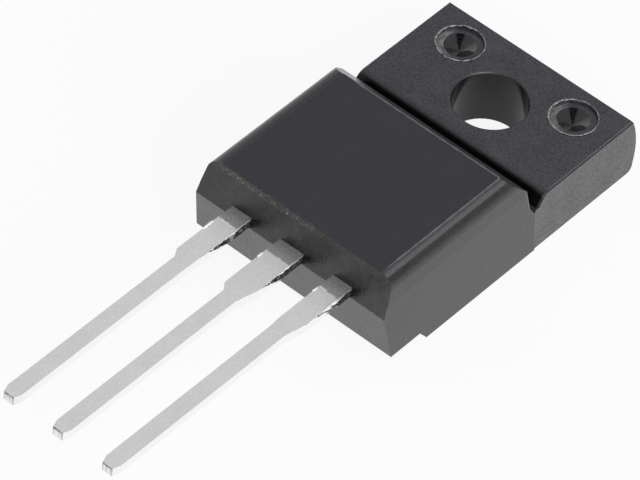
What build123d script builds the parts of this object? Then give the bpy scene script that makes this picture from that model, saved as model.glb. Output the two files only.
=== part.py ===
from build123d import *
import math
import os

# Silicon controlled rectifier in a fully moulded, isolated three-lead package.
# Origin: axis of the screw hole where it meets the mounting base.
# +Z rises from the mounting base to the marking face, +Y points to the flange
# end and the leads run towards -Y. All sizes are millimetres, angles degrees.

# ---- Driving dimensions: moulded body ----
body_width = 10.30          # across the body at the mounting base
flange_width = 10.20        # across the flange at the mounting base
side_draft = 5.0            # both sides lean in by this much as they rise
body_thickness = 4.54       # mounting base to marking face
flange_thickness = 2.65     # mounting base to flange face
lead_end = 12.38            # hole axis to the foremost line of the lead end
lower_rake = 0.48           # lead end leans back this far below the leads
upper_rake = 0.56           # and this far above them
rear_edge = 4.64            # hole axis to the rear edge of the marking face
crown_run = 0.655           # marking face to the side walls, across its whole rounded edge
crown_strip = 0.31          # shallow arched strip along the marking face, across
crown_strip_drop = 0.07     # and down
crown_strip_bulge = 0.011   # how far the strip stands off its chord
crown_drop = 0.48           # marking face to the lower end of the rounding
crown_bulge = 0.074         # how far the rounding stands off its chord
upper_wall = 0.62           # height of wall under the rounding that leans in more
upper_lean = 0.085          # and how far it leans
bevel_run = 0.96            # bevel between marking face and rear wall, across
bevel_drop = 0.92           # and down
rear_run = 0.23             # rear wall below the bevel leans back this far
rear_drop = 1.07            # over this height
groove_centre = 3.02        # hole axis to the middle of the cross groove; the sides step here
groove_floor = 0.28         # flat width at the bottom of the groove
groove_depth = 0.55         # below the flange face
groove_mouth = 0.60         # middle of the groove to its edge on the flange face
groove_lip = 0.50           # radius of that edge
flange_rounding = 0.10      # radius of the two long edges of the flange face
flange_end = 3.46           # hole axis to the fullest line of the flange end
flange_end_height = 1.35    # height of that line
flange_end_top = 0.27       # the end leans back this far at the flange face
flange_end_foot = 0.16      # and this far above its lower edge
foot_radius = 0.35          # rounded lower edge of the flange end
toe_relief = 0.50           # height of the relief under the lead end
toe_start = 9.72            # hole axis to where that relief starts
toe_slope = 0.41            # length of its sloping start

# ---- Driving dimensions: screw hole and the two round recesses ----
hole_diameter = 3.20
hole_edge = 0.05            # chamfer of its upper rim
recess_diameter = 2.00
recess_depth = 0.12         # flat shelf of a recess below the flange face
pit_diameter = 1.38         # conical pit in the middle of that shelf
pit_tip_diameter = 0.10
pit_depth = 0.36            # below the shelf
recess_spacing = 5.98       # between the two recess axes
recess_offset = 1.67        # from the hole axis towards the flange end

# ---- Driving dimensions: leads ----
lead_pitch = 2.54
lead_plane = 2.80           # mounting base to the underside of the leads
lead_thickness = 0.42
lead_length = 13.37         # lead end of the body to the lead tips
lead_width = 0.74           # slender part
tip_width = 0.49
tip_taper = 0.36
outer_step = 0.22           # outer leads: root wider on the side facing out
inner_step = 0.05           # and on the side facing the centre lead
centre_step = 0.25          # centre lead: root wider on both sides
left_root = 3.15            # length of the wide root, edge on the -X side
left_shoulder = 0.35        # length of its slope down to the slender part
right_root = 2.60           # the same on the +X side
right_shoulder = 1.05

# ---- Driving dimensions: what the moulding encloses ----
isolation = 0.55            # moulding under the heat spreader
spreader_thickness = 1.00
spreader_width = 8.20
spreader_front = 9.60       # hole axis to the spreader's edge at the lead end
spreader_rear = 2.20        # hole axis to its edge in the flange
spreader_hole = 4.60        # clear of the screw hole all round
strap_start = 11.60         # hole axis to where the centre lead bends down
strap_run = 1.10            # length of the sloping stretch
post_inner = 1.30           # hole axis plane to the inner edge of a bond post
post_outer = 3.90           # and to its outer edge
post_front = 12.00          # hole axis to a post's edge at the lead end
post_length = 1.15
chip_size = 3.80
chip_thickness = 0.28
chip_centre = 6.60          # hole axis to the middle of the chip
solder_margin = 0.15
solder_thickness = 0.05
cathode_wire = 0.38         # wire diameters
gate_wire = 0.20
wire_rise = 0.45            # highest point of a wire above its post
wire_crest = 0.62           # share of the wire's run from the chip to that point
wire_bend = 0.40            # radius of the bends in a wire
foot_length = 0.80          # flattened end of a wire
foot_spread = 1.5           # width of a flattened end in wire diameters
foot_press = 0.6            # height of a flattened end in wire diameters
cathode_bond_x = -0.60      # bond places on the chip, from its middle
cathode_bond_y = 0.30
gate_bond_x = 1.45
gate_bond_y = -1.35
post_bond_x = 2.60          # from the middle plane to the bonds on the posts

# ---- Derived places ----
draft = math.tan(math.radians(side_draft))
parting_y = -lead_end
spreader_top = isolation + spreader_thickness
lead_top = lead_plane + lead_thickness
solder_top = spreader_top + solder_thickness
chip_top = solder_top + chip_thickness
groove_z = flange_thickness - groove_depth
prism_margin = 1.0          # how far construction prisms run past the body
edge_tolerance = 0.01       # for picking an edge by its place


def half_width(width, z):
    """Half of a drafted width at height z: width / 2 - z * tan(side_draft)."""
    return width / 2 - z * draft


def face_of(plane, *curves):
    """Face enclosed by curves that are drawn in the plane's own two axes."""
    return plane * make_face([edge for curve in curves for edge in curve.edges()])


def prism_along_y(section, y_from, y_to):
    """Extrude a face of the X-Z plane from y_from to y_to."""
    return Pos(0, y_to, 0) * extrude(section, y_to - y_from)


def side_profile():
    """The whole moulding seen from the side, as a face in the Y-Z plane."""
    bevel_foot = (-rear_edge + bevel_run, body_thickness - bevel_drop)
    wall_foot = (bevel_foot[0] + rear_run, bevel_foot[1] - rear_drop)
    flange_lip = (-groove_centre + groove_mouth, flange_thickness)
    end_top = (flange_end - flange_end_top, flange_thickness)
    end_foot = (flange_end - flange_end_foot, foot_radius)
    rim = Polyline(
        end_top,
        flange_lip,
        (-groove_centre + groove_floor / 2, groove_z),
        (-groove_centre - groove_floor / 2, groove_z),
        wall_foot,
        bevel_foot,
        (-rear_edge, body_thickness),
        (parting_y + upper_rake, body_thickness),
        (parting_y, lead_plane),
        (parting_y + lower_rake, toe_relief),
        (-toe_start - toe_slope, toe_relief),
        (-toe_start, 0),
        (flange_end - flange_end_foot - foot_radius, 0),
    )
    foot = RadiusArc(rim @ 1, end_foot, -foot_radius)
    end_face = ThreePointArc(end_foot, (flange_end, flange_end_height), end_top)
    return face_of(Plane.YZ, rim, foot, end_face)


def body_section():
    """The thick part of the moulding seen from the lead end, in X-Z."""
    crown_z = body_thickness - crown_drop
    wall_z = crown_z - upper_wall
    wall_x = half_width(body_width, wall_z)
    crown_x = wall_x - upper_lean
    top_x = crown_x - crown_run
    strip_x = top_x + crown_strip
    strip_z = body_thickness - crown_strip_drop
    base_x = half_width(body_width, 0)
    right_strip = SagittaArc((top_x, body_thickness), (strip_x, strip_z), crown_strip_bulge)
    right = SagittaArc((strip_x, strip_z), (crown_x, crown_z), crown_bulge)
    left = SagittaArc((-crown_x, crown_z), (-strip_x, strip_z), crown_bulge)
    left_strip = SagittaArc((-strip_x, strip_z), (-top_x, body_thickness), crown_strip_bulge)
    walls = Polyline(
        (crown_x, crown_z),
        (wall_x, wall_z),
        (base_x, 0),
        (-base_x, 0),
        (-wall_x, wall_z),
        (-crown_x, crown_z),
    )
    top = Line((-top_x, body_thickness), (top_x, body_thickness))
    return face_of(Plane.XZ, right_strip, right, walls, left, left_strip, top)


def flange_section():
    """The flange seen from its end, in X-Z."""
    base_x = half_width(flange_width, 0)
    high_z = body_thickness
    high_x = half_width(flange_width, high_z)
    outline = Polyline((high_x, high_z), (base_x, 0), (-base_x, 0), (-high_x, high_z), close=True)
    return face_of(Plane.XZ, outline)


def moulding():
    """Outer form of the moulded body, still without its inner cavities."""
    profile = extrude(side_profile(), body_width, both=True)
    thick = prism_along_y(body_section(), parting_y - prism_margin, -groove_centre)
    thin = prism_along_y(flange_section(), -groove_centre, flange_end + prism_margin)
    form = profile & (thick + thin)
    lip_y = -groove_centre + groove_mouth
    lips = [
        edge
        for edge in form.edges().filter_by(Axis.X)
        if abs(edge.center().Y - lip_y) < edge_tolerance
        and abs(edge.center().Z - flange_thickness) < edge_tolerance
    ]
    form = fillet(lips, groove_lip)
    flange_edges = [
        edge
        for edge in form.edges().filter_by(Axis.Y)
        if edge.center().Y > lip_y and abs(edge.center().Z - flange_thickness) < edge_tolerance
    ]
    form = fillet(flange_edges, flange_rounding)
    form -= extrude(Circle(hole_diameter / 2), flange_thickness)
    rim_place = Pos(0, 0, flange_thickness - hole_edge / 2)
    form -= rim_place * Cone(hole_diameter / 2, hole_diameter / 2 + hole_edge, hole_edge)
    shelf = Pos(0, 0, flange_thickness - recess_depth) * extrude(Circle(recess_diameter / 2), recess_depth)
    pit_place = Pos(0, 0, flange_thickness - recess_depth - pit_depth / 2)
    pit = pit_place * Cone(pit_tip_diameter / 2, pit_diameter / 2, pit_depth)
    for side in (-1, 1):
        form -= Pos(side * recess_spacing / 2, recess_offset, 0) * (shelf + pit)
    return form


def lead_blade(centre_x, left_step, right_step, root_y):
    """Flat lead in the lead plane, from root_y inside the body to its tip."""
    half = lead_width / 2
    half_tip = tip_width / 2
    tip_y = parting_y - lead_length
    outline = Polyline(
        (centre_x - half - left_step, root_y),
        (centre_x - half - left_step, parting_y - left_root),
        (centre_x - half, parting_y - left_root - left_shoulder),
        (centre_x - half, tip_y + tip_taper),
        (centre_x - half_tip, tip_y),
        (centre_x + half_tip, tip_y),
        (centre_x + half, tip_y + tip_taper),
        (centre_x + half, parting_y - right_root - right_shoulder),
        (centre_x + half + right_step, parting_y - right_root),
        (centre_x + half + right_step, root_y),
        close=True,
    )
    return Pos(0, 0, lead_plane) * extrude(face_of(Plane.XY, outline), lead_thickness)


def outer_lead(side):
    """Cathode (side -1) or gate lead (side +1) with its bond post."""
    steps = (outer_step, inner_step) if side < 0 else (inner_step, outer_step)
    blade = lead_blade(side * lead_pitch, *steps, -post_front)
    post = Pos(side * (post_inner + post_outer) / 2, -post_front + post_length / 2, lead_plane) * Box(
        post_outer - post_inner, post_length, lead_thickness, align=(Align.CENTER, Align.CENTER, Align.MIN)
    )
    return (blade + post).clean()


def anode_lead():
    """Centre lead, its strap down to the chip level and the heat spreader."""
    blade = lead_blade(0, centre_step, centre_step, -strap_start)
    drop = lead_top - spreader_top
    bend = lead_thickness * math.tan(math.atan2(drop, strap_run) / 2)
    strap_end = strap_start - strap_run
    strap = Polyline(
        (-strap_start, lead_plane),
        (-strap_end, spreader_top - lead_thickness),
        (-spreader_front, spreader_top - lead_thickness),
        (-spreader_front, spreader_top),
        (-strap_end + bend, spreader_top),
        (-strap_start + bend, lead_top),
        (-strap_start, lead_top),
        close=True,
    )
    strap_width = lead_width + 2 * centre_step
    strap = extrude(face_of(Plane.YZ, strap), strap_width / 2, both=True)
    plate = Pos(0, (spreader_rear - spreader_front) / 2, isolation) * Box(
        spreader_width,
        spreader_front + spreader_rear,
        spreader_thickness,
        align=(Align.CENTER, Align.CENTER, Align.MIN),
    )
    plate -= Pos(0, 0, isolation) * extrude(Circle(spreader_hole / 2), spreader_thickness)
    return (blade + strap + plate).clean()


def plate_on_spreader(size, z, thickness):
    """Square layer centred under or in the chip."""
    return Pos(0, -chip_centre, z) * Box(size, size, thickness, align=(Align.CENTER, Align.CENTER, Align.MIN))


def bond_wire(diameter, bond_x, bond_y, side):
    """Wire from its bond on the chip to a post, with a flattened foot at each end."""
    radius = diameter / 2
    start = Vector(bond_x, -chip_centre + bond_y, chip_top + radius)
    end = Vector(side * post_bond_x, post_bond_y, lead_top + radius)
    run = Vector(end.X - start.X, end.Y - start.Y, 0)
    along = run.normalized()
    crest = start + run * wire_crest
    points = [
        start,
        start + along * foot_length,
        Vector(crest.X, crest.Y, lead_top + radius + wire_rise),
        end - along * foot_length,
        end,
    ]
    path = FilletPolyline(*points, radius=wire_bend)
    wire = sweep(Plane(origin=path @ 0, z_dir=path % 0) * Circle(radius), path=path)
    for point, level, way in ((start, chip_top, 1), (end, lead_top, -1)):
        heading = math.degrees(math.atan2(along.Y, along.X))
        place = Pos(point.X, point.Y, level) * Rot(0, 0, heading)
        foot = Pos(way * foot_length / 2, 0, 0) * Box(
            foot_length,
            foot_spread * diameter,
            foot_press * diameter,
            align=(Align.CENTER, Align.CENTER, Align.MIN),
        )
        wire += place * foot
    return wire


post_bond_y = -post_front + post_length / 2
enclosed = {
    "anode_lead_and_heat_spreader": anode_lead(),
    "cathode_lead": outer_lead(-1),
    "gate_lead": outer_lead(1),
    "chip_solder_layer": plate_on_spreader(chip_size + 2 * solder_margin, spreader_top, solder_thickness),
    "silicon_chip": plate_on_spreader(chip_size, solder_top, chip_thickness),
    "cathode_bond_wire": bond_wire(cathode_wire, cathode_bond_x, cathode_bond_y, -1),
    "gate_bond_wire": bond_wire(gate_wire, gate_bond_x, gate_bond_y, 1),
}

body = moulding()
for piece in enclosed.values():
    body -= piece

os.makedirs("parts", exist_ok=True)
for name, shape in {"moulded_body": body, **enclosed}.items():
    export_step(shape, f"parts/{name}.step")
    print(name, round(shape.volume, 3))
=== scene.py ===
import math

import bpy
import numpy as np
from mathutils import Matrix, Vector


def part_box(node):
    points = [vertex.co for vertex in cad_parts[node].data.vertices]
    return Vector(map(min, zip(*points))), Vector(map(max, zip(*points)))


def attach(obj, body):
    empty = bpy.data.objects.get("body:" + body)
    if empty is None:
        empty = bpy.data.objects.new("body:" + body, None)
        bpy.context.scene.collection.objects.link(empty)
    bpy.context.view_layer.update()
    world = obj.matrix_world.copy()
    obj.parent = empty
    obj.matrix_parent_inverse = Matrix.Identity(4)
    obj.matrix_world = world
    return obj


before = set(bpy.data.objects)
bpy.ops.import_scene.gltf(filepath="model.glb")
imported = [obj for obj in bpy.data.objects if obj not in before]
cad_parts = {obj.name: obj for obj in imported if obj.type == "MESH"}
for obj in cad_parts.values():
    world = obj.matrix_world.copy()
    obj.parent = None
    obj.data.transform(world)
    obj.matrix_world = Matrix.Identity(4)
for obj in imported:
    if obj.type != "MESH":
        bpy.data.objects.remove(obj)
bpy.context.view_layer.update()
mm = 0.001


# ---- Leads and heat spreader ----
# Three flat leads punched from copper strip; the centre one runs on into the heat spreader.
# Matt tin covers them to their sheared tips, but for a first stretch at the moulding that was
# left bare when the strip was plated and has turned a dull grey.

class Wire:
    """A shader socket. Arithmetic on wires and numbers adds Math nodes, and make() any other."""

    def __init__(self, tree, socket=None):
        self.tree = tree
        self.socket = socket

    def make(self, kind, inputs, output=0, stops=None, **settings):
        """Add a node: settings first, then a ramp's stops, then values or wires for its sockets."""
        node = self.tree.nodes.new(kind)
        for name, value in settings.items():
            setattr(node, name, value)
        if stops:
            while len(node.color_ramp.elements) < len(stops):
                node.color_ramp.elements.new(0.5)
            for element, (place, shade) in zip(node.color_ramp.elements, stops):
                element.position = place
                element.color = (shade, shade, shade, 1)
        for name, value in inputs.items():
            if isinstance(value, Wire):
                self.tree.links.new(value.socket, node.inputs[name])
            else:
                node.inputs[name].default_value = value
        return Wire(self.tree, node.outputs[output])

    def math(self, operation, *values):
        return self.make("ShaderNodeMath", dict(enumerate(values)), operation=operation)

    def __add__(self, other):
        return self.math("ADD", self, other)

    def __sub__(self, other):
        return self.math("SUBTRACT", self, other)

    def __rsub__(self, other):
        return self.math("SUBTRACT", other, self)

    def __mul__(self, other):
        return self.math("MULTIPLY", self, other)

    def __truediv__(self, other):
        return self.math("DIVIDE", self, other)

    def __abs__(self):
        return self.math("ABSOLUTE", self)

    __radd__ = __add__
    __rmul__ = __mul__

    def band(self, low, high):
        """0 below low, 1 above high and a smooth step between; low > high turns it round."""
        inputs = {"Value": self, "From Min": low, "From Max": high}
        return self.make("ShaderNodeMapRange", inputs, interpolation_type="SMOOTHSTEP")

    def near(self, middle, outer, inner):
        """1 within inner of the middle, 0 beyond outer and a smooth step between."""
        return abs(self - middle).band(outer, inner)

    def most(self, *others):
        """The greatest of this wire and the others: masks laid over one another."""
        greatest = self
        for other in others:
            greatest = self.math("MAXIMUM", greatest, other)
        return greatest

    def blend(self, first, second):
        """Colour that goes from first to second as this wire goes from 0 to 1."""
        inputs = {"Factor": self, 6: first, 7: second}
        return self.make("ShaderNodeMix", inputs, output=2, data_type="RGBA")

    def axes(self):
        """The X, Y and Z of a vector."""
        node = self.make("ShaderNodeSeparateXYZ", {"Vector": self}).socket.node
        return [Wire(self.tree, node.outputs[axis]) for axis in "XYZ"]

    def feed(self, node, name):
        """Link this wire to a socket of a shader node."""
        self.tree.links.new(self.socket, node.inputs[name])


def new_material(name):
    """A bare Principled material; returns it, its shader node and the place on the piece."""
    material = bpy.data.materials.new(name)
    material.use_nodes = True
    tree = material.node_tree
    place = Wire(tree).make("ShaderNodeTexCoord", {}, output="Object")
    return material, tree.nodes["Principled BSDF"], place


def facing(place):
    """The X, Y and Z of the direction in which the surface faces."""
    return place.make("ShaderNodeTexCoord", {}, output="Normal").axes()


def noise(place, per_mm, detail=3.0, roughness=0.55):
    """Cloud of values about 0.5, with per_mm cells to the millimetre."""
    inputs = {"Vector": place, "Scale": per_mm / mm, "Detail": detail, "Roughness": roughness}
    return place.make("ShaderNodeTexNoise", inputs)


def finish_nodes(names, material):
    """Give CAD nodes a material in all their slots."""
    for name in names:
        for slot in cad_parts[name].material_slots:
            slot.material = material


moulding_front_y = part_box("moulded_body")[0].y
lead_low, lead_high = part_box("cathode_lead")
strip_thickness = lead_high.z - lead_low.z
lead_pitch = 2.54 * mm
gap_from_x = 1.0 * mm
gap_to_x = 1.5 * mm
tip_y = lead_low.y
half_tip = 0.245 * mm
copper = (0.62, 0.27, 0.16, 1)
tin = (0.965, 0.963, 0.957, 1)
tin_shade = (0.885, 0.885, 0.880, 1)
tin_flank = (0.915, 0.913, 0.908, 1)
shear_dark = (0.11, 0.11, 0.11, 1)
bare_end_y = moulding_front_y - 0.70 * mm
bare_wave = 0.42 * mm
bare_grey = (0.36, 0.358, 0.355, 1)
bare_grey_light = (0.68, 0.677, 0.67, 1)
bleed_full_y = -13.45 * mm
bleed_wedge_y = -14.95 * mm
bleed_wave = 0.35 * mm
gate_bleed_short = 0.50 * mm
bleed_black = (0.006, 0.006, 0.007, 1)
tear_y = -13.38 * mm

tinned_copper, shader, place = new_material("tinned_copper")
x, y, z = place.axes()
facing_right, _, facing_up = facing(place)
flat = facing_up.band(0.35, 0.85)
right_flank = facing_right.band(0.6, 0.9)
grain = noise(place, 9.0)
cloud = noise(place, 0.9, detail=2.0)
mottle = noise(place, 10.0, detail=2.0)
ragged = noise(place, 3.4, detail=5.0, roughness=0.7) - 0.5

# Tin ends at a wavy line with a broken dark fringe, bare metal starts there, and the copper
# inside the moulding has kept its colour.
wavy_y = y + ragged * bare_wave
plated = wavy_y.band(bare_end_y + 0.03 * mm, bare_end_y - 0.03 * mm)
fringe = wavy_y.near(bare_end_y - 0.04 * mm, 0.06 * mm, 0.02 * mm)
fringe = fringe * noise(place, 6.0).band(0.45, 0.60)
inside = y.band(moulding_front_y + 0.35 * mm, moulding_front_y + 0.65 * mm)
tarnished = (noise(place, 22.0) * 0.8 + grain * 0.2).band(0.35, 0.70)
matt_tin = (mottle * 0.7 + cloud * 0.3).band(0.36, 0.64).blend(tin, tin_shade)
colour = plated.blend(tarnished.blend(bare_grey, bare_grey_light), flat.blend(tin_flank, matt_tin))
colour = inside.blend(colour, copper)

# The sheared tips are dark where the shear rolled the upper edge over, at both burred edges
# and in streaks.
end_face = y.band(tip_y + 0.03 * mm, tip_y + 0.01 * mm)
torn = z.band(lead_low.z + 0.04 * mm, lead_high.z) * 0.35
roll_over = z.band(lead_high.z - 0.14 * mm, lead_high.z - 0.03 * mm)
roll_over = roll_over * (0.55 + noise(place, 7.0).band(0.40, 0.60) * 0.45)
from_middle = abs(x.math("WRAP", x, -lead_pitch / 2, lead_pitch / 2))
burred = from_middle.band(half_tip - 0.07 * mm, half_tip - 0.02 * mm) * (0.35 + torn)
streak_place = place.make("ShaderNodeVectorMath", {0: place, 1: (1, 1, 0.12)}, operation="MULTIPLY")
streak = noise(streak_place, 9.0, detail=2.0).band(0.50, 0.68) * (0.15 + torn)
colour = (end_face * roll_over.most(burred, streak)).blend(colour, shear_dark)

# Resin bled out of the mould over the right flanks: over all of a flank at the moulding, and
# further out over a wedge under the upper edge, shorter on the gate lead. It came away in
# flecks, and on the outer leads in a patch where the dam bar was cut.
bleed_y = y - x.band(gap_from_x, gap_to_x) * gate_bleed_short
bleed_drop = (bleed_y - bleed_wedge_y) / (bleed_full_y - bleed_wedge_y)
bleed_low = lead_high.z - bleed_drop * strip_thickness + ragged * bleed_wave
bleed = right_flank * (z - bleed_low).band(-0.01 * mm, 0.01 * mm)
bleed = bleed * bleed_y.band(bleed_wedge_y - 0.1 * mm, bleed_wedge_y)
bleed = bleed * (1 - noise(place, 11.0, roughness=0.7).band(0.58, 0.66) * 0.6)
tear = (y + ragged * bleed_wave).near(tear_y, 0.20 * mm, 0.10 * mm)
tear = tear * noise(place, 7.0, detail=4.0, roughness=0.6).band(0.47, 0.56)
bleed = bleed * (1 - tear * abs(x).band(gap_from_x, gap_to_x) * 0.85)
colour = bleed.blend(colour, bleed_black)
colour.feed(shader, "Base Color")

fleck = noise(place, 5.0, detail=1.0).band(0.74, 0.80)
rough = 0.52 + bleed * 0.4 - plated * (1 - bleed) * (0.38 - flat * 0.42)
rough = rough + (grain - 0.5) * 0.10 + fleck * 0.1
rough.feed(shader, "Roughness")
((1 - bleed) * (1 - fringe * 0.6)).feed(shader, "Metallic")
relief = place.make("ShaderNodeBump", {"Strength": 0.25, "Distance": 0.004 * mm, "Height": grain})
relief.feed(shader, "Normal")
finish_nodes(["anode_lead_and_heat_spreader", "cathode_lead", "gate_lead"], tinned_copper)


# ---- Shear burrs on the leads ----
# Cutting the dam bars away left thin turned-up lips of bright tin along the upper edges of
# the leads, next to the moulding: ragged, thickest where the bar stood, a mere thread beyond.

burr_bright = (0.97, 0.965, 0.955, 1)
burr_shade = (0.90, 0.895, 0.885, 1)
burr_points = 240
bead_sides = 12


def swept_bead(name, path, width, height, closed, material):
    """Rounded bead along a path: each section is an ellipse, width by height, spanned by the
    level direction square to the path and by the vertical. Free ends close on their middle."""
    up = np.array((0.0, 0.0, 1.0))
    if closed:
        along = np.roll(path, -1, axis=0) - np.roll(path, 1, axis=0)
    else:
        along = np.gradient(path, axis=0)
    across = np.cross(along, up)
    across /= np.linalg.norm(across, axis=1, keepdims=True)
    turn = np.linspace(0, 2 * np.pi, bead_sides, endpoint=False)
    side = np.cos(turn)[None, :, None] * (width / 2)[:, None, None] * across[:, None, :]
    rise = np.sin(turn)[None, :, None] * (height / 2)[:, None, None] * up
    points = (path[:, None, :] + side + rise).reshape(-1, 3)

    count = len(path)
    rows = np.arange(count if closed else count - 1)[:, None] * bead_sides
    nexts = (rows + bead_sides) % (count * bead_sides)
    here = np.arange(bead_sides)
    beyond = (here + 1) % bead_sides
    quads = np.stack((rows + here, nexts + here, nexts + beyond, rows + beyond), axis=2)
    faces = quads.reshape(-1, 4).tolist()
    if not closed:
        first, last = len(points), len(points) + 1
        tail = (count - 1) * bead_sides
        points = np.vstack((points, path[0], path[-1]))
        faces += np.stack((np.full(bead_sides, first), here, beyond), axis=1).tolist()
        faces += np.stack((np.full(bead_sides, last), tail + beyond, tail + here), axis=1).tolist()
    mesh = bpy.data.meshes.new(name)
    mesh.from_pydata(points, [], faces)
    mesh.polygons.foreach_set("use_smooth", np.ones(len(faces), dtype=bool))
    mesh.materials.append(material)
    piece = bpy.data.objects.new(name, mesh)
    bpy.context.collection.objects.link(piece)
    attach(piece, "root")
    return piece


def waver(turns, seed, lowest, highest):
    """Smooth ripple with a mean square of 1: a sum of equal sines, with lowest to highest whole
    waves to the turn and their phases from a seed."""
    dice = np.random.default_rng(seed)
    waves = np.arange(lowest, highest + 1)
    phases = dice.uniform(0, 2 * np.pi, len(waves))
    return np.sin(turns[:, None] * waves + phases).sum(axis=1) * math.sqrt(2 / len(waves))


burr_tin, shader, place = new_material("burr_tin")
y = place.axes()[1]
bright = noise(place, 8.0).band(0.35, 0.65).blend(burr_shade, burr_bright)
bare = y.band(bare_end_y - 0.1 * mm, bare_end_y + 0.15 * mm)
bare.blend(bright, bare_grey_light).feed(shader, "Base Color")
(0.15 + noise(place, 12.0) * 0.3).feed(shader, "Roughness")
shader.inputs["Metallic"].default_value = 0.3

# A lip's width rises from thin to thick in a bell round the bar's stump, with a ripple. A
# ragged thread takes over behind the bar, and the far end tapers. All in millimetres: where
# the leads grow slender, half the bell's breadth, where the thread starts, and its width.
slim_from_y, slim_y = -14.98, -16.03
stump_reach = 0.38
thread_after, thread_fade = 0.4, 0.3
thread_width = 0.020
least_width = 0.008

# Edge x, edge x where the lead is slender, first y, last y, width at the moulding and at the
# dam bar, dam bar y, seed.
for name, edge_x, slim_x, start_y, end_y, thin, thick, bar_y, seed in (
    ("cathode_burr", -2.12, -2.17, -12.36, -15.60, 0.024, 0.070, -13.30, 1),
    ("cathode_left_burr", -3.13, -3.13, -13.42, -14.00, 0.040, 0.095, -13.68, 2),
    ("anode_burr", 0.62, 0.37, -12.36, -15.90, 0.022, 0.085, -13.32, 3),
    ("anode_left_burr", -0.62, -0.62, -13.32, -13.60, 0.030, 0.080, -13.46, 4),
    ("gate_burr", 3.13, 2.91, -12.36, -16.10, 0.024, 0.165, -13.56, 5),
    ("gate_left_burr", 2.12, 2.12, -13.20, -13.50, 0.030, 0.070, -13.35, 6),
):
    reach = np.linspace(0, 1, burr_points)
    path_y = start_y + (end_y - start_y) * reach
    slender = np.clip((slim_from_y - path_y) / (slim_from_y - slim_y), 0, 1)
    ripple = waver(reach * 2 * np.pi, seed, 2, 9)
    nicks = waver(reach * 2 * np.pi, seed + 10, 12, 30)
    past_bar = np.clip((bar_y - thread_after - path_y) / thread_fade, 0, 1)
    lip = thin + (thick - thin) * np.exp(-((path_y - bar_y) / stump_reach) ** 2)
    thread = thread_width * (1 + 0.6 * ripple + 0.6 * nicks)
    lip = lip * (1 + 0.12 * ripple) * (1 - past_bar) + thread * past_bar
    width = np.maximum(lip * np.sqrt(1 - reach ** 12), least_width) * mm
    path_x = edge_x + (slim_x - edge_x) * slender + 0.006 * ripple
    path = np.stack((path_x * mm, path_y * mm, np.full(burr_points, lead_high.z)), axis=1)
    swept_bead(name, path, width, width * 0.9, False, burr_tin)


# ---- Chip, its solder and the bond wires ----
# Sealed inside the moulding: a square of silicon with aluminium pads, soft-soldered to the
# heat spreader, and two drawn aluminium wires pressed onto it and onto the outer leads.

solder_grey = (0.42, 0.42, 0.41, 1)
solder_pale = (0.55, 0.55, 0.53, 1)
silicon_dark = (0.10, 0.11, 0.14, 1)
silicon_pad = (0.55, 0.55, 0.56, 1)
aluminium_bright = (0.82, 0.82, 0.83, 1)
aluminium_dull = (0.66, 0.66, 0.67, 1)


def metal_finish(name, first, second, per_mm, roughness):
    """Metal that drifts between two shades, per_mm cells to the millimetre."""
    material, shader, place = new_material(name)
    cloud = noise(place, per_mm)
    cloud.band(0.35, 0.65).blend(first, second).feed(shader, "Base Color")
    (roughness + (cloud - 0.5) * 0.2).feed(shader, "Roughness")
    shader.inputs["Metallic"].default_value = 1.0
    return material


finish_nodes(["chip_solder_layer"], metal_finish("solder", solder_grey, solder_pale, 3.0, 0.45))
finish_nodes(["silicon_chip"], metal_finish("silicon", silicon_dark, silicon_pad, 0.6, 0.20))
finish_nodes(
    ["cathode_bond_wire", "gate_bond_wire"],
    metal_finish("bond_wire", aluminium_bright, aluminium_dull, 8.0, 0.28),
)


# ---- Moulded body ----
# One shot of black epoxy filled with fine silica. The mould is polished round the thick body
# and eroded round the flange, which comes out rougher and paler; the depth of the cross groove
# is painted matt black, a painted shade. Handling in bulk has scuffed the edges of the lead end.

epoxy_dark = (0.0002, 0.0002, 0.0003, 1)
epoxy_light = (0.0142, 0.0142, 0.0146, 1)
marking_dark = (0.0002, 0.0010, 0.0095, 1)
marking_light = (0.0072, 0.0080, 0.0176, 1)
flange_dark = (0.0004, 0.0004, 0.0095, 1)
flange_light = (0.0490, 0.0490, 0.0610, 1)
flange_side_dark = (0.0004, 0.0004, 0.0004, 1)
flange_side_light = (0.0860, 0.0860, 0.0870, 1)
# Painted light on the front below the parting line, from its dark grain to its light grain:
front_sheen_dark = (0.0010, 0.0010, 0.0010, 1)
front_sheen_light = (0.0745, 0.0745, 0.0745, 1)
slope_dark = (0.0006, 0.0006, 0.0006, 1)
slope_light = (0.0170, 0.0163, 0.0145, 1)
pit_light = (0.0140, 0.0130, 0.0190, 1)
# Black for painted shade; the first is also the dark end of the pit's grain:
shade_and_pit_black = (0.0012, 0.0012, 0.0014, 1)
matt_shade_black = (0.0015, 0.0015, 0.0016, 1)
scuff_grey = (0.30, 0.295, 0.27, 1)
# Grey for painted highlights on edges:
edge_highlight_grey = (0.090, 0.090, 0.094, 1)
scraped_grey = (0.24, 0.24, 0.235, 1)
resin_ior = 1.70

marking_z = 4.54 * mm
flange_face = 2.65 * mm
flange_side_x = 4.84 * mm
flange_edge_x = 4.80 * mm
flange_end_y = 3.40 * mm
hole_radius = 1.60 * mm
recess_x = 2.99 * mm
recess_y = 1.67 * mm
recess_radius = 1.00 * mm
pit_radius = 0.69 * mm
lip_end_y = -2.20 * mm
groove_y = -3.02 * mm
rear_wall_y = -3.68 * mm
rear_wall_z = 3.62 * mm
rear_wall_lean = 0.23 / 1.07
slope_edge_y = -11.82 * mm
parting_z = 2.80 * mm
fade = 0.02 * mm


def distance(across, along):
    """Distance from an upright axis, from its two level parts."""
    return across.math("SQRT", across * across + along * along)


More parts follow.
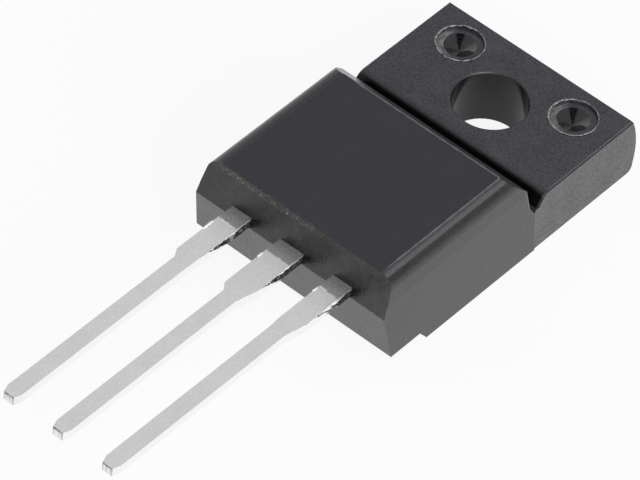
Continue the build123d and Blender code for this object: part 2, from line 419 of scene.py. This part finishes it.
epoxy, shader, place = new_material("epoxy")
x, y, z = place.axes()
facing_right, facing_back, facing_up = facing(place)
cloud = noise(place, 0.8, detail=4.0)
speck = noise(place, 11.0, detail=5.0, roughness=0.62)
grain = noise(place, 24.0, detail=4.0, roughness=0.60)
fine = (cloud * 0.25 + speck * 0.40 + grain * 0.35).band(0.40, 0.60)
coarse = (cloud * 0.12 + speck * 0.44 + grain * 0.44).band(0.42, 0.58)
level_side = abs(facing_right).most(facing_back).band(0.80, 0.90)
above_base = z.band(0.02 * mm, 0.06 * mm)

# The screw hole's barrel, and the chamfer at its mouth.
barrel = distance(x, y).band(hole_radius + 0.10 * mm, hole_radius + 0.06 * mm)
barrel = barrel * z.band(flange_face - 0.005 * mm, flange_face - 0.025 * mm)
chamfer = barrel * z.band(flange_face - 0.06 * mm, flange_face - 0.045 * mm)

# The two recesses: the pit in the middle, the shelf round it with scratches that run round
# the axis, and the shade at the foot of the ring of flash.
from_x = x - x.math("SIGN", x) * recess_x
from_y = y - recess_y
from_axis = distance(from_x, from_y)
pit = from_axis.band(pit_radius + 0.03 * mm, pit_radius) * above_base
pit_cone = pit * facing_up.band(0.97, 0.90)
shelf = from_axis.band(pit_radius - fade, pit_radius + fade)
shelf = shelf * from_axis.band(recess_radius + 0.10 * mm, recess_radius + 0.06 * mm)
round_place = place.make("ShaderNodeCombineXYZ", {
    "X": from_axis * 2.2, "Y": x.math("ARCTAN2", from_y, from_x) * (0.25 * mm), "Z": x * 0.2,
})
scratch = noise(round_place, 9.0, roughness=0.7).band(0.42, 0.60)
scrape = shelf * facing_up.band(0.80, 0.95)
scrape = scrape * (from_x * -0.85 + from_y * -0.5).band(0.15 * mm, 0.70 * mm)
scrape = scrape * (0.15 + scratch * 0.85)
ring_shade = from_axis.band(recess_radius + 0.12 * mm, recess_radius + 0.08 * mm)
ring_shade = ring_shade * from_axis.band(recess_radius + 0.01 * mm, recess_radius + 0.03 * mm)
ring_shade = ring_shade * (from_x * 0.2 - from_y).band(0.2 * mm, 0.8 * mm)
ring_shade = ring_shade * facing_up.band(0.8, 0.95)

# The eroded flange, top and sides; a painted shade line under its long edges, and a painted
# highlight line on them.
behind_groove = y.band(groove_y - 0.01 * mm, groove_y + 0.01 * mm)
eroded = behind_groove * above_base * y.band(lip_end_y - 0.35 * mm, lip_end_y)
eroded = eroded * (1 - barrel) * (1 - pit)
outer = abs(x).band(flange_side_x - fade, flange_side_x + fade)
outer = outer.most(y.band(flange_end_y - fade, flange_end_y + fade))
eroded_side = behind_groove * outer * level_side
long_edge = abs(x).band(flange_edge_x - fade, flange_edge_x + fade)
# Painted shade: a dark line under the flange's long edges.
edge_shade_line = long_edge * facing_up.band(0.66, 0.56) * facing_up.band(0.11, 0.17) * behind_groove
# Painted highlight: a pale line on the flange's long edges.
flange_edge_highlight = long_edge * facing_up.band(0.66, 0.74) * facing_up.band(0.99, 0.94)
flange_edge_highlight = flange_edge_highlight * y.band(lip_end_y, lip_end_y + 0.2 * mm)

# The cross groove: walls painted black, a painted shade, as is the screw hole's barrel, and a
# depth where a matt black shader is mixed in, more painted shade; soft ends on the lip behind
# it; and pale arrises painted on the wall and the step in front of it, painted highlights.
groove_and_hole_shade = y.near(groove_y, 0.65 * mm, 0.50 * mm) * z.band(flange_face, flange_face - 0.08 * mm)
groove_and_hole_shade = (groove_and_hole_shade * (1 - level_side)).most(barrel * 0.9)
lip_end = abs(x).band(4.74 * mm, 4.80 * mm) * (1 - level_side)
lip_end = lip_end * y.band(lip_end_y, lip_end_y - 0.15 * mm)
lip_end = lip_end * behind_groove * facing_up.band(0.70, 0.50)
groove_depth_shade = y.near(groove_y, 0.66 * mm, 0.50 * mm)
groove_depth_shade = groove_depth_shade * z.band(flange_face - 0.02 * mm, flange_face - 0.06 * mm)
groove_depth_shade = groove_depth_shade * (1 - level_side) * (0.85 - abs(x).band(4.2 * mm, 4.8 * mm) * 0.35)
behind_wall = y + (z - rear_wall_z) * rear_wall_lean - rear_wall_y
# Painted highlights: pale lines on the arris of the rear wall and of the step in front of the
# groove.
wall_edge_highlight = behind_wall.band(-0.07 * mm, -0.03 * mm) * level_side * (1 - behind_groove)
wall_edge_highlight = wall_edge_highlight * z.band(2.45 * mm, 2.60 * mm) * z.band(rear_wall_z, rear_wall_z - 0.1 * mm)
step_edge_highlight = (y - groove_y).band(-0.055 * mm, -0.03 * mm) * (1 - behind_groove) * level_side
step_edge_highlight = step_edge_highlight * z.band(2.12 * mm, 2.02 * mm) * z.band(0.3 * mm, 0.8 * mm)
edge_highlights = (flange_edge_highlight * 0.6).most(wall_edge_highlight, step_edge_highlight * 0.8)

# The marking face, the mottled slope above the leads, and the front below the parting line,
# which is painted lighter, and lighter still towards the left: painted light, with grain.
marking_face = z.band(marking_z - 0.04 * mm, marking_z - 0.005 * mm) * facing_up.band(0.95, 0.99)
lead_slope = y.band(slope_edge_y + fade, slope_edge_y - fade)
lead_slope = lead_slope * z.band(parting_z, parting_z + 0.05 * mm)
mottle = noise(place, 2.6, detail=4.0, roughness=0.65)
mottle = (mottle * 0.65 + speck * 0.35).band(0.42, 0.66)
# Painted light: the front below the parting line is painted lighter, more so on the left.
front_sheen = (0.0 - facing_back).band(0.90, 0.98) * z.band(parting_z + 0.01 * mm, parting_z - 0.02 * mm)
front_sheen = front_sheen * (0.35 + x.band(3.5 * mm, -3.5 * mm) * 0.65)

# Pale scuffs in clusters along the marking face's front edge, fewer towards the right, and a
# thin broken line of them on the parting line.
lint = noise(place, 13.0, detail=2.0, roughness=0.7)
cluster = noise(place, 1.6, detail=1.0).band(0.40, 0.60)
edge_line = y.band(slope_edge_y - 0.16 * mm, slope_edge_y - 0.07 * mm)
edge_line = edge_line * y.band(slope_edge_y + 0.07 * mm, slope_edge_y)
edge_line = edge_line * z.band(marking_z - 0.32 * mm, marking_z - 0.18 * mm)
edge_wear = 0.15 + x.band(1.6 * mm, -1.6 * mm) * 0.85
edge_wear = edge_wear * (0.45 + x.band(-4.1 * mm, -3.1 * mm) * 0.55)
edge_scuffs = edge_line * edge_wear * (0.35 + cluster * 0.65) * lint.band(0.54, 0.63)
seam_line = z.near(parting_z, 0.05 * mm, 0.02 * mm)
seam_line = seam_line * y.band(moulding_front_y + 0.08 * mm, moulding_front_y + 0.02 * mm)
scuffed = edge_scuffs.most(seam_line * lint.band(0.58, 0.66) * 0.6)

colour = coarse.blend(epoxy_dark, epoxy_light)
for where, shade in (
    (marking_face, coarse.blend(marking_dark, marking_light)),
    (eroded, coarse.blend(flange_dark, flange_light)),
    (lead_slope, mottle.blend(slope_dark, slope_light)),
    (front_sheen, fine.blend(front_sheen_dark, front_sheen_light)),
    (eroded_side, coarse.blend(flange_side_dark, flange_side_light)),
    (groove_and_hole_shade, shade_and_pit_black),
    (pit_cone, coarse.blend(shade_and_pit_black, pit_light)),
    (edge_shade_line.most(ring_shade), shade_and_pit_black),
    (edge_highlights, edge_highlight_grey),
    (scrape, scraped_grey),
    (scuffed, scuff_grey),
):
    colour = where.blend(colour, shade)
colour.feed(shader, "Base Color")

rough = 0.27 + (speck - 0.5) * 0.20 + (cloud - 0.5) * 0.08
rough = rough + eroded * 0.10 - barrel * 0.06 + chamfer * 0.40 - pit * 0.14 + scrape * 0.2
rough = rough + lip_end * 0.45 - (groove_and_hole_shade - lip_end) * 0.12
rough.feed(shader, "Roughness")
steep = facing_up.band(0.50, 0.20)
depth = 1.0 - marking_face * 0.50 - barrel * 0.75 - pit * 0.35 + eroded * 0.8 + steep * 1.4
height = (speck * 0.6 + grain * 0.4) * depth
relief = place.make("ShaderNodeBump", {"Strength": 0.50, "Distance": 0.006 * mm, "Height": height})
relief.feed(shader, "Normal")
shader.inputs["IOR"].default_value = resin_ior

# Painted shade: a black shader without gloss, mixed into the groove's depth, under the flange's
# long edges and round the flash rings.
matt_shade = place.make("ShaderNodeBsdfPrincipled", {
    "Base Color": matt_shade_black, "Roughness": 0.8, "Specular IOR Level": 0.0,
})
matt_shade_share = groove_depth_shade.most(edge_shade_line * 0.60, ring_shade * 0.45)
glossy = Wire(place.tree, shader.outputs["BSDF"])
surface = place.make("ShaderNodeMixShader", {"Fac": matt_shade_share, 1: glossy, 2: matt_shade})
surface.feed(place.tree.nodes["Material Output"], "Surface")
finish_nodes(["moulded_body"], epoxy)


# ---- Ridge round the marking face ----
# A low ridge of the body's resin, left where an insert meets the mould's cavity. It is painted
# pale at the back and on the right, a painted highlight, and worn low at the front and on the left.

rim_highlight_grey = (0.125, 0.125, 0.133, 1)
rim_left, rim_right = -4.105, 4.105
rim_front, rim_rear = -11.825, -4.625
rim_corner = 0.10
rim_step = 0.03
rim_width = 0.085
rim_height = 0.034
rim_z = 4.538 * mm


def side_points(start, end, step):
    """Points on the straight line between two ends, about a step apart, without the ends."""
    share = np.linspace(0, 1, int(np.linalg.norm(end - start) / step))[1:-1, None]
    return start * (1 - share) + end * share


def rounded_loop(left, front, right, rear, corner, step):
    """Level loop anticlockwise from the front right: quarter circles joined by straight sides."""
    turn = np.linspace(0, np.pi / 2, 7)
    corners = []
    for middle_x, middle_y, start in (
        (right - corner, front + corner, -np.pi / 2),
        (right - corner, rear - corner, 0.0),
        (left + corner, rear - corner, np.pi / 2),
        (left + corner, front + corner, np.pi),
    ):
        arc_x = middle_x + corner * np.cos(start + turn)
        arc_y = middle_y + corner * np.sin(start + turn)
        corners.append(np.stack((arc_x, arc_y), axis=1))
    loop = []
    for arc, following in zip(corners, corners[1:] + corners[:1]):
        loop += [arc, side_points(arc[-1], following[0], step)]
    return np.concatenate(loop)


highlit_rim_resin, shader, place = new_material("highlit_rim_resin")
x, y = place.axes()[:2]
# Painted highlight: the ridge is painted pale except near the front, and only faintly on the left.
rim_highlight = y.band((rim_front + 0.1) * mm, (rim_front + 0.4) * mm)
rim_highlight = rim_highlight * (0.60 + noise(place, 3.0).band(0.35, 0.65) * 0.40)
rim_highlight = rim_highlight * (0.05 + x.band(-3.9 * mm, -3.0 * mm) * 0.95)
rim_highlight.blend(epoxy_dark, rim_highlight_grey).feed(shader, "Base Color")
(0.30 + noise(place, 12.0) * 0.1).feed(shader, "Roughness")
shader.inputs["IOR"].default_value = resin_ior

loop = rounded_loop(rim_left, rim_front, rim_right, rim_rear, rim_corner, rim_step)
turns = np.linspace(0, 2 * np.pi, len(loop), endpoint=False)
standing = np.clip((loop[:, 1] - rim_front - 0.3) / 0.6, 0.35, 1)
standing = standing * np.clip((loop[:, 0] - rim_left) / 0.8, 0.40, 1)
width = rim_width * (1 + 0.06 * waver(turns, 30, 20, 60)) * standing * mm
height = rim_height * (1 + 0.10 * waver(turns, 31, 20, 60)) * standing * mm
path = np.column_stack((loop * mm, np.full(len(loop), rim_z)))
swept_bead("marking_face_rim", path, width, height, True, highlit_rim_resin)


# ---- Flash round the ejector recesses ----
# Thin ragged rings of resin that crept round the ejector pins, thicker at the front left,
# and were rubbed pale.

flash_pale = (0.36, 0.36, 0.355, 1)
flash_dark = (0.130, 0.130, 0.130, 1)
flash_points = 260
flash_thickest = math.radians(215)
flash_least = 0.015 * mm

scraped_resin, shader, place = new_material("scraped_resin")
patches = noise(place, 5.0, detail=4.0).band(0.40, 0.58)
patches.blend(flash_dark, flash_pale).feed(shader, "Base Color")
(0.40 + noise(place, 12.0) * 0.2).feed(shader, "Roughness")

for name, side_x, seed in (
    ("recess_flash_left", -recess_x, 40),
    ("recess_flash_right", recess_x, 50),
):
    turns = np.linspace(0, 2 * np.pi, flash_points, endpoint=False)
    radius = recess_radius + (0.025 + 0.008 * waver(turns, seed, 2, 14)) * mm
    thicker = 0.5 + 0.5 * np.cos(turns - flash_thickest)
    width = (0.040 + 0.030 * thicker) * (1 + 0.22 * waver(turns, seed + 1, 5, 40)) * mm
    height = (0.050 + 0.030 * thicker) * (1 + 0.22 * waver(turns, seed + 2, 5, 40)) * mm
    width, height = np.maximum(width, flash_least), np.maximum(height, flash_least)
    path_x = side_x + radius * np.cos(turns)
    path_y = recess_y + radius * np.sin(turns)
    path = np.column_stack((path_x, path_y, np.full(flash_points, flange_face)))
    swept_bead(name, path, width, height, True, scraped_resin)


# ---- Studio ----
# White paper under a neutral sky that is brighter low down on the right and on the left and
# has a dark opening overhead, with a broad soft lamp in front and a small one behind.

table_half = 0.6
table_z = -0.02 * mm
paper_white = (0.92, 0.92, 0.92, 1)
paper_shade = (0.90, 0.90, 0.90, 1)
white = (1, 1, 1, 1)

floor_mesh = bpy.data.meshes.new("floor")
corners = [
    (-table_half, -table_half, table_z), (table_half, -table_half, table_z),
    (table_half, table_half, table_z), (-table_half, table_half, table_z),
]
floor_mesh.from_pydata(corners, [], [(0, 1, 2, 3)])
floor = bpy.data.objects.new("floor", floor_mesh)
bpy.context.collection.objects.link(floor)

# The paper is seen as pure white, and metal and gloss show it nearly so, but darker near the
# lead tips, and darkest under the screw hole, where the part shades it most.
paper, shader, place = new_material("white_paper")
x, y = place.axes()[:2]
noise(place, 0.05).band(0.2, 0.8).blend(paper_shade, paper_white).feed(shader, "Base Color")
shader.inputs["Roughness"].default_value = 0.9
shader.inputs["Specular IOR Level"].default_value = 0.0
sheet_behind_tips = (x * 0.6 + y * 0.8).band(-22 * mm, -18 * mm)
under_hole = distance(x, y).band(hole_radius + 0.2 * mm, hole_radius + 0.1 * mm)
hole_back = (y * 0.805 - x * 0.593).band(-1.1 * mm, 1.5 * mm)
mirrored = 1 - under_hole * (0.78 - hole_back * 0.24)
mirrored = mirrored * (0.50 + sheet_behind_tips * 0.48)
rays = place.make("ShaderNodeLightPath", {}).socket.node
camera_ray = Wire(place.tree, rays.outputs["Is Camera Ray"])
glossy_ray = Wire(place.tree, rays.outputs["Is Glossy Ray"])
clear_ray = Wire(place.tree, rays.outputs["Is Transmission Ray"])
share = camera_ray * 0.90 + glossy_ray * mirrored + clear_ray * 0.90
glow = place.make("ShaderNodeEmission", {"Color": white, "Strength": 1.0})
lit = Wire(place.tree, shader.outputs["BSDF"])
surface = place.make("ShaderNodeMixShader", {"Fac": share, 1: lit, 2: glow})
surface.feed(place.tree.nodes["Material Output"], "Surface")
floor_mesh.materials.append(paper)


def towards(direction, aim):
    """Cosine of the angle between a direction and a fixed aim."""
    inputs = {0: direction, 1: Vector(aim).normalized()}
    return direction.make(
        "ShaderNodeVectorMath", inputs, output="Value", operation="DOT_PRODUCT")


def sky_ramp(rise, stops):
    """Brightness of the sky by how steeply the direction rises."""
    return rise.make("ShaderNodeValToRGB", {"Fac": rise}, stops=stops)


world = bpy.data.worlds.new("studio")
bpy.context.scene.world = world
world.use_nodes = True
tree = world.node_tree
direction = Wire(tree).make("ShaderNodeTexCoord", {}, output="Generated")
rise = direction.axes()[2]
zenith = 0.525
plain = sky_ramp(rise, [(0.0, 0.24), (0.45, 0.41), (0.66, zenith), (1.0, zenith)])
right = sky_ramp(rise, [
    (0.0, 1.0), (0.10, 0.86), (0.20, 0.74), (0.33, 0.63), (0.50, 0.56), (1.0, zenith),
])
left = sky_ramp(rise, [(0.0, 0.9), (0.35, 1.0), (0.60, 0.9), (0.85, zenith)])
sky = towards(direction, (0.83, 0.55, 0.0)).band(0.60, 0.95).blend(plain, right)
sky = towards(direction, (-1.0, 0.1, 0.1)).band(0.70, 0.92).blend(sky, left)
opening = towards(direction, (0.17, -0.12, 0.98)).band(0.956, 0.974)
sky = opening.blend(sky, (0.03, 0.03, 0.03, 1))
sky = sky.make("ShaderNodeMix", {"Factor": 1.0, 6: sky, 7: (0.995, 1.0, 1.005, 1)}, output=2,
               data_type="RGBA", blend_type="MULTIPLY")
seen = Wire(tree, sky.make("ShaderNodeLightPath", {}).socket.node.outputs["Is Camera Ray"])
seen.blend(sky, white).feed(tree.nodes["Background"], "Color")
tree.nodes["Background"].inputs["Strength"].default_value = 1.0


def soft_disc(name, place, size, energy):
    """Round area lamp at a place, facing the origin."""
    data = bpy.data.lights.new(name, "AREA")
    data.shape = "DISK"
    data.size = size
    data.energy = energy
    lamp = bpy.data.objects.new(name, data)
    lamp.location = place
    lamp.rotation_mode = "QUATERNION"
    lamp.rotation_quaternion = (-lamp.location).to_track_quat("-Z", "Y")
    bpy.context.collection.objects.link(lamp)


soft_disc("front_lamp", (0.353, -0.155, 0.168), 0.30, 1.30)
soft_disc("rear_lamp", (0.02, 0.22, 0.332), 0.134, 0.076)


# ---- Camera ----
# Looks down on the lead end from the front right, a little tilted, through a long lens.

camera_target = Vector((0.41, -11.03, 3.0)) * mm
camera_azimuth = math.radians(36.36)
camera_elevation = math.radians(46.25)
camera_roll = math.radians(6.37)
camera_distance = 228.3 * mm

camera_data = bpy.data.cameras.new("camera")
camera_data.sensor_width = 36.0
camera_data.lens = 327.5
camera_data.clip_start = 0.01
camera_data.clip_end = 10.0
camera = bpy.data.objects.new("camera", camera_data)
back = Vector((
    math.sin(camera_azimuth) * math.cos(camera_elevation),
    -math.cos(camera_azimuth) * math.cos(camera_elevation),
    math.sin(camera_elevation),
))
aim = (-back).to_track_quat("-Z", "Y").to_matrix().to_4x4()
aim = aim @ Matrix.Rotation(camera_roll, 4, "Z")
camera.matrix_world = Matrix.Translation(camera_target + back * camera_distance) @ aim
bpy.context.collection.objects.link(camera)
bpy.context.scene.camera = camera
bpy.context.scene.view_settings.view_transform = "Standard"
